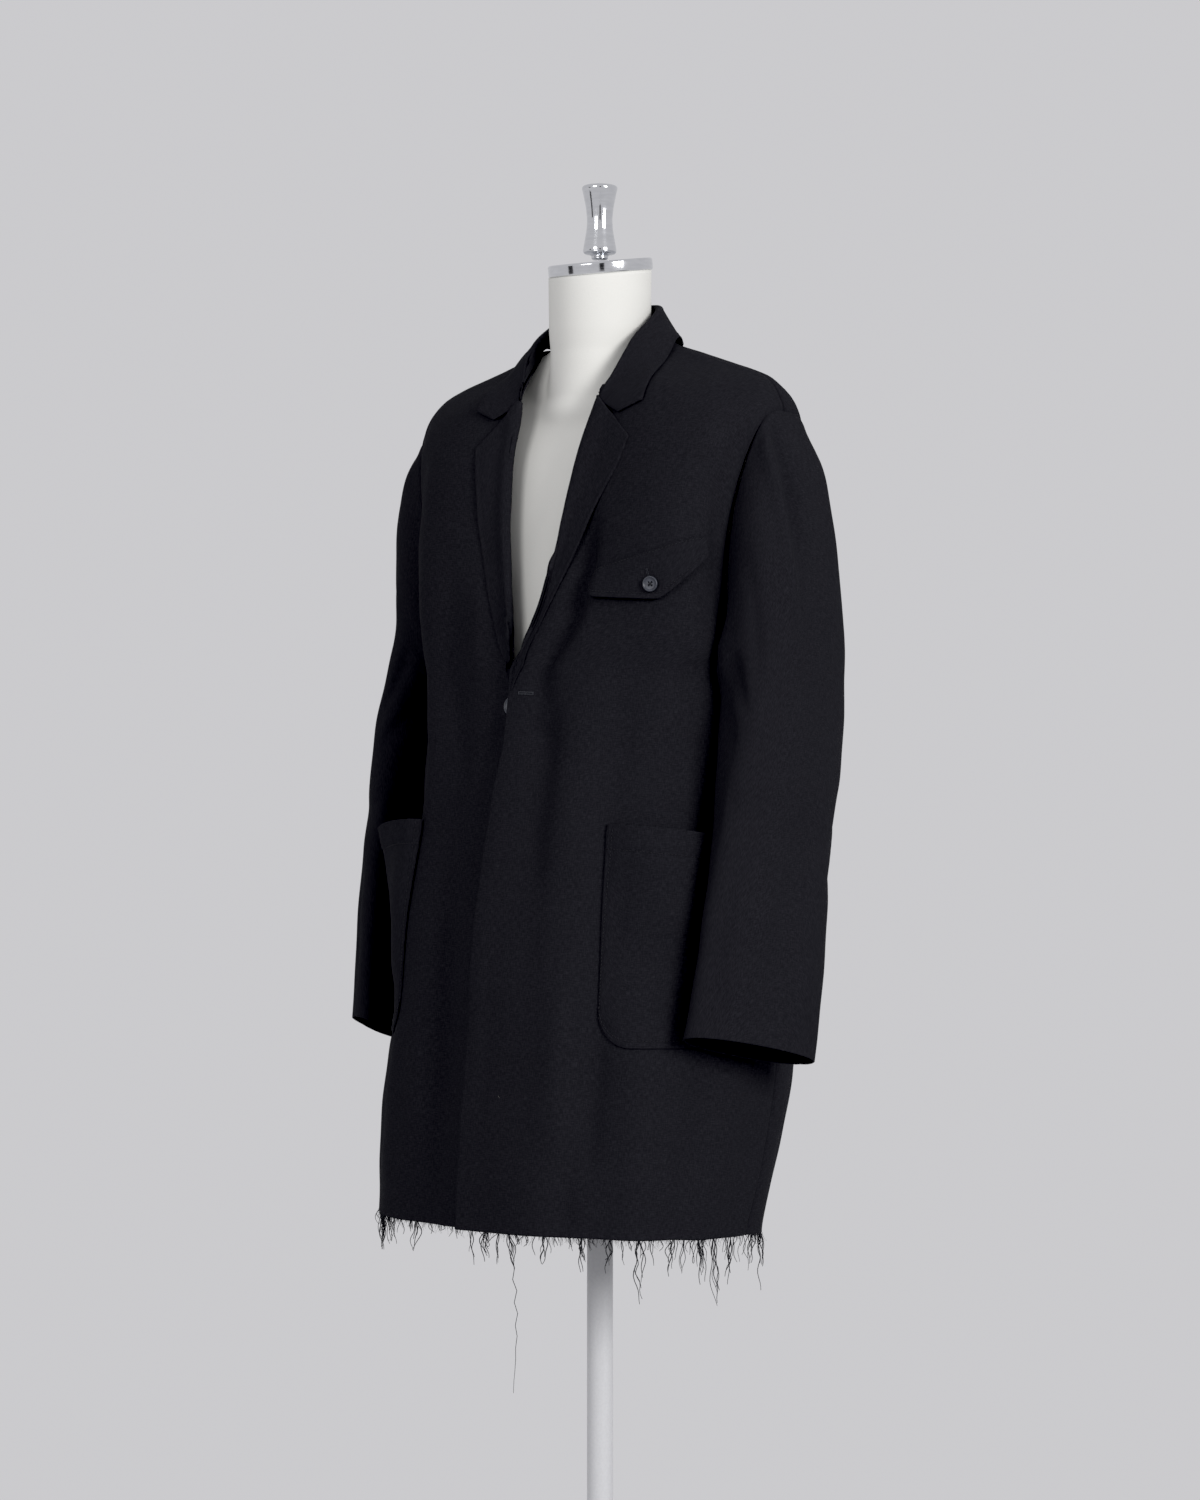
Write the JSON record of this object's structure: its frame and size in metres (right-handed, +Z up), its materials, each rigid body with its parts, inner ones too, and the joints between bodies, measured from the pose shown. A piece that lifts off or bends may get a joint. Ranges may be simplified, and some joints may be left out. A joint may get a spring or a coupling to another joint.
{
  "type": "work coat on a limbless dress form",
  "caption": "Long black wool work coat with notched lapels, patch pockets and a raw fringed hem, worn open on an ivory dress form with a chrome cap, pole and base",
  "frame": {"origin": "centre of the underside of the round base, on the floor, on the pole's axis", "axes": "+Z up, -Y the wearer's front, +X the wearer's left"},
  "size_m": [0.5476, 0.3652, 1.616],
  "materials": {
    "wool": "dull black woven wool, slightly fuzzy",
    "fringe": "frayed black wool threads",
    "button": "dark grey button with a soft shine",
    "form_cover": "smooth ivory cover",
    "metal": "polished chrome"
  },
  "bodies": {
    "root": {"front_left": "wool", "front_right": "wool", "back": "wool", "upper_sleeve_left": "wool", "under_sleeve_left": "wool", "upper_sleeve_right": "wool", "under_sleeve_right": "wool", "lapel_left": "wool", "lapel_right": "wool", "collar": "wool", "pocket_left": "wool", "pocket_right": "wool", "chest_flap": "wool", "flap_button": "button", "front_button": "button", "fringe_left": "fringe", "fringe_right": "fringe", "fringe_back": "fringe", "dress_form": "form_cover", "neck_cap": "metal", "knob": "metal", "pole": "metal", "base": "metal"}
  },
  "joints": []
}
